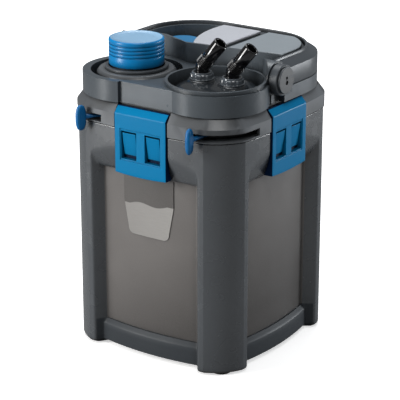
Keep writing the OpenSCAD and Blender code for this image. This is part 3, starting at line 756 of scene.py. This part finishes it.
def lever(node, centre, arm_a, paddle_a):
    """Rounded paddle with faint ribs on a short neck; the ring it turns on sits in the flange's slot."""
    arm, tilt = math.radians(arm_a), math.radians(paddle_a)
    along = Vector((math.cos(tilt), math.sin(tilt), 0))
    across = Vector((-along.y, along.x, 0))
    up = Vector((0, 0, 1))
    middle = Vector((*centre, 0)) + along * 72.25 + up * PADDLE_Z
    columns, rows, thick = 40, 10, 3.4
    parts = []
    for side in (-1, 1):
        verts, faces = [tuple(middle + across * thick * side)], []
        for i in range(1, rows + 1):
            k = i / rows
            for j in range(columns):
                a = 2 * math.pi * j / columns
                u = 6.2 * k * math.copysign(abs(math.cos(a)) ** 0.75, math.cos(a))
                w = 14.2 * k * math.copysign(abs(math.sin(a)) ** 0.75, math.sin(a))
                rib = 0.18 * math.cos(u * 2.4) * (1 - k ** 4)
                bulge = thick * math.sqrt(1 - 0.94 * k ** 4) + rib
                verts.append(tuple(middle + along * u + up * w + across * side * bulge))
        for j in range(columns):
            faces.append((0, 1 + j, 1 + (j + 1) % columns))
        for i in range(rows - 1):
            for j in range(columns):
                a, b = 1 + i * columns + j, 1 + i * columns + (j + 1) % columns
                faces.append((a, b, b + columns, a + columns))
        parts.append((verts, faces))
    verts, faces = joined(*parts)
    shift = len(parts[0][0])
    edge = 1 + (rows - 1) * columns
    for j in range(columns):
        a, b = edge + j, edge + (j + 1) % columns
        faces.append((a, b, b + shift, a + shift))
    start = Vector((*centre, 0)) + Vector((math.cos(arm), math.sin(arm), 0)) * 47 + up * LEVER_Z
    end = middle - along * 3.5 + up * (LEVER_Z - PADDLE_Z)
    rings = []
    widths = ((0, 3.6, 2.3), (0.5, 2.9, 2.3), (0.72, 2.4, 2.3), (0.8, 2.6, 2.9), (0.86, 2.2, 2.9),
              (1, 1.8, 2.6))
    for k, wide, tall in widths:
        at = start.lerp(end, k)
        rings.append([tuple(at + across * wide * math.cos(a) + up * tall * math.sin(a))
                      for a in (2 * math.pi * i / 24 for i in range(24))])
    neck = loft(rings)
    verts, faces = joined((verts, faces), neck)
    piece(node + "_paddle", verts, faces, LEVER, node, [node], sharp=50)
    z0, z1 = SEAM + 1.9, SEAM + 8.4
    profile = [(43.2, z0), (47.4, z0), (48, z0 + 0.6), (48, z1 - 0.6), (47.4, z1), (43.2, z1), (43.2, z0)]
    verts, faces = lathe(profile, centre, 96)
    piece(node + "_ring", verts, faces, BLACK, node, [])


# ---- turned parts round the wells ----

def prefilter_lid():
    z = FLANGE
    profile = [(0, z + 12), (36, z + 12), (36, z), (48.8, z), (49.4, z + 0.6), (49.4, z + 7.2), (48.6, z + 8),
               (45.2, z + 8.2), (44.3, z + 9), (44, z + 10), (44, z + 20.8), (43.2, z + 22.2),
               (41.4, z + 24.4),
               (40.4, z + 25), (32, z + 25), (31.9, z + 17), (28, z + 17), (27.9, SEAM + 62), (27, SEAM + 63),
               (0, SEAM + 63)]
    verts, faces = lathe(profile, PREFILTER, 128)
    return piece("prefilter_lid_look", verts, faces, HEAD, "prefilter", ["prefilter_lid"])


def cap_collar():
    z = SEAM + 50
    r = high("cap_collar").x - PREFILTER[0]
    profile = [(r - 3.9, z)] + arc(r - 0.9, z + 0.9, 0.9, -90, 0, 3) + arc(r - 1.2, z + 2.6, 1.2, 0, 90, 3)
    profile += [(r - 3.9, z + 3.8), (r - 3.9, z)]
    verts, faces = lathe(profile, PREFILTER, 128)
    return piece("cap_collar_look", verts, faces, HANDLE, "prefilter", ["cap_collar"])


def primer_cap():
    z0, z1 = low("primer_cap").z, high("primer_cap").z
    r = high("primer_cap").x - PREFILTER[0]
    profile = [(0, z1 - 3), (r - 3, z1 - 3), (r - 3, z0), (r - 0.5, z0), (r, z0 + 0.5)]
    for i in range(4):
        g = z0 + 11 + 4 * i
        profile += [(r, g - 0.35), (r - 0.25, g), (r - 0.9, g + 0.25), (r - 0.9, g + 0.95),
                    (r - 0.25, g + 1.2),
                    (r, g + 1.55)]
    profile += arc(r - 2, z1 - 2, 2, 0, 90, 6)
    profile += [(r - 3.4, z1 - 0.3), (r - 4.2, z1 - 0.9), (r - 12, z1 - 1.1), (0, z1 - 1.2)]
    verts, faces = lathe(profile, PREFILTER, 128)
    obj = piece("primer_cap_look", verts, faces, CAP, "primer", ["primer_cap"], sharp=45)
    # painted highlight: the cap's top face takes the paler blue
    extra_material(obj, CAP_SHEEN, lambda c: c.z > z1 - 1.5 and math.dist(c[:2], PREFILTER) < r - 2.5)


def primer_spring():
    """Helix below the cap."""
    z0, z1 = low("primer_spring").z, high("primer_spring").z
    reach = (high("primer_spring").x - low("primer_spring").x) / 2
    wire, turns, per_turn = 0.9, 4, 36
    first, last, radius = z0 + wire, z1 - wire, reach - wire
    path = []
    for i in range(turns * per_turn + 1):
        a = 2 * math.pi * i / per_turn
        centre = (PREFILTER[0] + radius * math.cos(a), PREFILTER[1] + radius * math.sin(a),
                  first + (last - first) * i / (turns * per_turn))
        path.append((Vector(centre), Vector((-math.sin(a), math.cos(a), 0.05))))
    rings = []
    for c, d in path:
        out = Vector((c.x - PREFILTER[0], c.y - PREFILTER[1], 0)).normalized()
        rise = d.normalized().cross(out)
        rings.append([tuple(c + (out * math.cos(b) + rise * math.sin(b)) * wire)
                      for b in (2 * math.pi * j / 10 for j in range(10))])
    verts, faces = loft(rings)
    obj = piece("primer_spring_look", verts, faces, STEEL, "prefilter", ["primer_spring"], sharp=50)
    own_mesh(obj)


def union_centre(s):
    """Middle of the left union nut, s = -1, or the right one, s = 1."""
    return ADAPTER[0] + s * UNION_OFFSET, ADAPTER[1] + UNION_BACK


def adapter_body():
    z = FLANGE
    top = low("union_left").z
    dome = [(0, z - 0.02), (50, z), (50.7, z + 0.7), (50.7, z + 12.6), (50, z + 13.4), (48.6, z + 13.6),
            (47.6, z + 14.2), (46.6, z + 15.8), (44.5, z + 17.6), (41, z + 19.6), (37, z + 21.2),
            (33, z + 22.3),
            (28, z + 23.1), (20, z + 23.6), (0, z + 23.7)]
    parts = [lathe(dome, ADAPTER, 128)]
    for s in (-1, 1):
        post = [(7.5, z - 16), (10, z - 16), (10, z + 1), (19.5, z + 17.5), (17.8, z + 21.2), (16, z + 23.4),
                (14.6, top - 0.4), (13.8, top), (7.5, top), (7.5, z - 16)]
        parts.append(lathe(post, union_centre(s), 72))
    verts, faces = joined(*parts)
    return piece("adapter_body_look", verts, faces, ADAPTER_GREY, "adapter", ["adapter_body"])


def union_nut(node, s):
    """Clear union nut with grip lugs round its skirt."""
    z0, z1 = low(node).z, high(node).z
    cx, cy = union_centre(s)
    steps = 96
    rows = [(7.3, z0, 0), (13, z0, 0), (13.4, z0 + 0.4, 0), (13.4, z0 + 1.2, 0), (12.6, z0 + 1.7, 1),
            (12.6, z1 - 2.6, 1), (12.1, z1 - 2, 1), (11, z1 - 1.7, 0), (10.9, z1 - 0.4, 0),
            (10.5, z1, 0), (9, z1, 0),
            (8.4, z1 - 1.2, 0), (7.3, z1 - 1.2, 0)]
    rings = []
    for r, z, lug in rows:
        ring = []
        for i in range(steps):
            a = 2 * math.pi * i / steps
            grip = lug * -0.9 * (0.5 + 0.5 * math.tanh(6 * math.sin(6 * a)))
            ring.append((cx + (r + grip) * math.cos(a), cy + (r + grip) * math.sin(a), z))
        rings.append(ring)
    verts, faces = loft(rings, closed=True)
    return piece(node + "_look", verts, faces, UNION, "adapter", [node])


def sweep(path, radii, sides=48):
    """Rings round a path: centres with directions, and a radius at each."""
    rings = []
    for (c, d), r in zip(path, radii):
        d = Vector(d).normalized()
        side = Vector((0, 1, 0)) if abs(d.y) < 0.9 else Vector((1, 0, 0))
        u = side.cross(d).normalized()
        v = d.cross(u)
        rings.append([tuple(Vector(c) + (u * math.cos(a) + v * math.sin(a)) * r)
                      for a in (2 * math.pi * i / sides for i in range(sides))])
    return rings


def elbow(node, s, body):
    """Swivelling elbow: stem, ribbed bend and a smooth open tail."""
    cx, cy = union_centre(s)
    tilt, turn = math.radians(40), math.radians(6)
    bend_z = SEAM + 64
    lean = Vector((math.sin(tilt) * math.cos(turn), math.sin(tilt) * math.sin(turn), math.cos(tilt)))
    up = Vector((0, 0, 1))
    pivot = Vector((cx, cy, bend_z))

    def at(t):
        """Centre and direction at t millimetres along the tail, or below the bend where t is negative."""
        if t < -3:
            return pivot + up * t, up
        if t > 3:
            return pivot + lean * t, lean
        k = (t + 3) / 6
        d = (up * (1 - k) + lean * k).normalized()
        a, b = pivot - up * 3, pivot + lean * 3
        return a * (1 - k) ** 2 + pivot * 2 * k * (1 - k) + b * k * k, d

    outer = [(-26, 7.2), (-12, 7.2), (-11.7, 8.3), (-11.4, 8.6), (-9.3, 8.6), (-9, 8.3), (-8.9, 7.3),
             (-3, 7.3),
             (-1.5, 7.3), (0, 7.3), (1.5, 7.3), (2.1, 7.3)]
    for start in (2.3, 4.3, 6.3, 8.3, 10.3):
        outer += [(start, 7.4), (start + 0.2, 8.4), (start + 0.5, 8.7), (start + 0.9, 8.7),
                  (start + 1.2, 8.4),
                  (start + 1.4, 7.4)]
    outer += [(12.4, 7.4), (12.7, 7.8), (13.2, 8.0), (35.2, 8.0), (35.8, 7.7), (36, 7.2), (36, 6.0),
              (35.7, 5.7),
              (35, 5.6), (20, 5.6), (3, 5.6), (0, 5.6), (-3, 5.6), (-26, 5.6)]
    path = [at(t) for t, _ in outer]
    rings = sweep(path, [r for _, r in outer])
    verts, faces = loft(rings, closed=True)
    return piece(node + "_look", verts, faces, GLOSS, body, [node], sharp=50)


# ---- handle ----

def loop_point(inset, t):
    """Point on the handle's plan outline drawn in by inset. t runs from 0 near the right arm's pivot round
    to 1 at the slanted tip of the left arm."""
    half_w, back, r = HANDLE_HALF, HANDLE_BACK, HANDLE_CORNER
    cx, cy = half_w - r, back - r
    y0 = HUB_Y + 4
    r_in = r - inset
    straight = cy - y0
    corner = math.pi / 2 * r
    across = 2 * cx
    total = 2 * straight + 2 * corner + across - TIP_LENGTH + 4
    s = t * total
    if s < straight:
        return (half_w - inset, y0 + s)
    s -= straight
    if s < corner:
        a = s / r
        return (cx + r_in * math.cos(a), cy + r_in * math.sin(a))
    s -= corner
    if s < across:
        return (cx - s, back - inset)
    s -= across
    if s < corner:
        a = math.pi / 2 + s / r
        return (-cx + r_in * math.cos(a), cy + r_in * math.sin(a))
    s -= corner
    return (-(half_w - inset), cy - s)


def carry_handle():
    z0, z1 = SEAM + 41.8, SEAM + 71
    profile = [(0.7, z0), (0.15, z0 + 0.5), (0, z0 + 1.2), (0, z1 - 9.4), (0.15, z1 - 8.9), (0.6, z1 - 8.5),
               (10.2, z1 - 2.6), (10.8, z1 - 2.2), (11.1, z1 - 1.2), (11.3, z1 - 0.4), (11.9, z1), (13.1, z1),
               (13.8, z1 - 0.5), (14, z1 - 1.4), (14, z0 + 0.8), (13.4, z0), (11.4, z0), (11, z0 + 0.6),
               (11, z1 - 6), (9, z1 - 6.6), (3, z1 - 10.8), (3, z0 + 0.6), (2.6, z0)]
    steps = 150
    rings = []
    for i in range(steps + 1):
        t = i / steps
        rings.append([(*loop_point(inset, t), z) for inset, z in profile])
    verts, faces = loft(rings)
    parts = [(verts, faces)]
    drum = [(0, 105), (PIVOT_R - 0.8, 105), (PIVOT_R, 105.8), (PIVOT_R, 114.2), (PIVOT_R - 0.8, 115),
            (0, 115)]
    v, f = lathe(drum, (0, 0), 72)
    parts.append(([(h, HUB_Y + x, HUB_Z + y) for x, y, h in v], f))
    # the left arm ends in a plain rounded tip
    tip = arc(0, 0, TIP_R, 90, 270, 24)
    tip += [(TIP_LENGTH + 0.5, -TIP_R), (TIP_LENGTH + 0.5, z1 - HUB_Z), (TIP_LENGTH, z1 - HUB_Z)]
    rings = []
    for x, k in ((-105, 0.98), (-105.3, 1), (-111.6, 1), (-111.9, 0.98)):
        rings.append([(x, HUB_Y + (y - 7) * k + 7, HUB_Z + (z - 2) * k + 2) for y, z in tip])
    parts.append(loft(rings))
    verts, faces = joined(*parts)
    return piece("handle_loop", verts, faces, HANDLE, "handle", ["carry_handle"], sharp=32)


# ---- build ----

tank()
badge()
for quarter, node in enumerate(("clip_front", "clip_right", "clip_rear", "clip_left")):
    clip(node + "_look", quarter, node)
lever("prefilter_lever", PREFILTER, -101, -111)
lever("adapter_lever", ADAPTER, -68, -78)
prefilter_lid()
cap_collar()
primer_cap()
primer_spring()
adapter_body()
union_nut("union_left", -1)
union_nut("union_right", 1)
elbow("elbow_left", -1, "elbow_left")
elbow("elbow_right", 1, "elbow_right")
carry_handle()
softened("head_base", HEAD, 0.7)
softened("head_deck", DECK, 0.8, lift=0.9)
softened("pump_housing", DECK, 0.8, lift=0.9)
softened("pump_cover_left", COVER, 1.2)
# painted shade: the right cover takes the darker copy of the silver
softened("pump_cover_right", COVER_SHADED, 1.2)
hub_cap = softened("hub_caps", HANDLE, 0.5)
extra_material(hub_cap, BLACK, lambda c: math.hypot(c.y - HUB_Y, c.z - HUB_Z) < 6.5)
softened("feet", RUBBER, 0.6)
softened("cable_gland", RUBBER, 0.5)
softened("heater_plug", PLUG, 1.2)

CARRIED = {
    "basket_lower": BASKET, "basket_middle": BASKET, "basket_upper": BASKET,
    "foam_coarse": FOAM_BLUE, "foam_fine": FOAM_ORANGE, "bio_media": MEDIA,
    "head_gasket": RUBBER, "housing_screws": STEEL, "motor_block": POTTING,
    "rotor_shaft": CERAMIC, "shaft_bushes": RUBBER, "impeller_cover": BLACK,
    "inlet_duct": BLACK, "outlet_duct": BLACK, "valve_sleeves": BLACK,
    "plug_seal": RUBBER, "clip_pins": STEEL, "handle_pivots": STEEL,
    "prefilter_seal": RUBBER, "prefilter_cage": BLACK, "prefilter_foam": FOAM_ORANGE,
    "adapter_seals": RUBBER, "impeller": BLACK, "rotor_magnet": POTTING,
}
for node, material in CARRIED.items():
    obj = nodes[node]
    obj.data.materials.clear()
    obj.data.materials.append(material)


# ---- stage, light and camera ----

def floor_material():
    """Pale floor that bounces little light up at the object but looks white. Seen by the camera it glows with
    painted light, dimmer near the object, so the floor is darker round it.
    """
    s = Shader("pale_floor")
    body = s.mix(s.ramp(s.noise(3, 2), 0.3, 0.7), (0.9, 0.9, 0.9, 1), (0.94, 0.94, 0.94, 1))
    seen = s.node("ShaderNodeLightPath").outputs["Is Camera Ray"]
    s.bsdf.inputs["Emission Color"].default_value = (1, 1, 1, 1)
    away = s.node("ShaderNodeVectorMath", operation="LENGTH")
    s.link(s.coords, away.inputs[0])
    glow = s.node("ShaderNodeMath", operation="MULTIPLY")
    s.link(s.ramp(away.outputs["Value"], 0.25, 1.2, *FLOOR_GLOW), glow.inputs[0])
    s.link(seen, glow.inputs[1])
    s.link(glow.outputs[0], s.bsdf.inputs["Emission Strength"])
    return s.done(s.mix(seen, (0.25, 0.25, 0.25, 1), body), 0.9)


def stage():
    mesh = bpy.data.meshes.new("floor")
    size = 12
    corners = [(-size, -size, 0), (size, -size, 0), (size, size, 0), (-size, size, 0)]
    mesh.from_pydata(corners, [], [(0, 1, 2, 3)])
    floor = bpy.data.objects.new("floor", mesh)
    floor.data.materials.append(floor_material())
    scene.collection.objects.link(floor)


def softbox(name, place, target, size, power, colour=(1, 1, 1)):
    data = bpy.data.lights.new(name, "AREA")
    data.shape = "RECTANGLE"
    data.size, data.size_y = size
    data.energy = power
    data.color = colour
    lamp = bpy.data.objects.new(name, data)
    scene.collection.objects.link(lamp)
    lamp.location = place
    lamp.rotation_euler = (Vector(target) - Vector(place)).to_track_quat("-Z", "Y").to_euler()
    return lamp


def camera():
    data = bpy.data.cameras.new("camera")
    data.lens = 157.3
    data.sensor_width = 36
    data.clip_end = 50
    cam = bpy.data.objects.new("camera", data)
    scene.collection.objects.link(cam)
    cam.location = (1.0647, -1.5326, 0.8197)
    aim = Vector((-0.0016, -0.0011, 0.1562)) - cam.location
    cam.rotation_euler = aim.to_track_quat("-Z", "Y").to_euler()
    scene.camera = cam


stage()
centre = (0, 0, 0.18)
softbox("key", (-1.1, -1.5, 0.95), (0, 0, 0.3), (0.6, 0.9), 25, (1, 0.985, 0.965))
softbox("right", (1.3, 1.6, 0.32), centre, (0.4, 0.5), 27, (0.93, 0.965, 1))
softbox("sheen", (-0.95, -1.3, 0.25), (0, 0, 0.12), (0.35, 0.4), 10.5)
softbox("top", (-0.5, 0.5, 2.0), centre, (1.2, 1.2), 28, (0.96, 0.98, 1))
softbox("bevel", (0.8, -0.9, 1.7), centre, (0.7, 0.7), 12)
camera()

world = bpy.data.worlds.new("studio")
scene.world = world
world.use_nodes = True
background = world.node_tree.nodes["Background"]
background.inputs["Color"].default_value = (1, 1, 1, 1)
path = world.node_tree.nodes.new("ShaderNodeLightPath")
level = world.node_tree.nodes.new("ShaderNodeMapRange")
level.inputs["To Min"].default_value = STUDIO_FILL
level.inputs["To Max"].default_value = 1.0
world.node_tree.links.new(path.outputs["Is Camera Ray"], level.inputs["Value"])
world.node_tree.links.new(level.outputs["Result"], background.inputs["Strength"])
scene.view_settings.view_transform = "Standard"
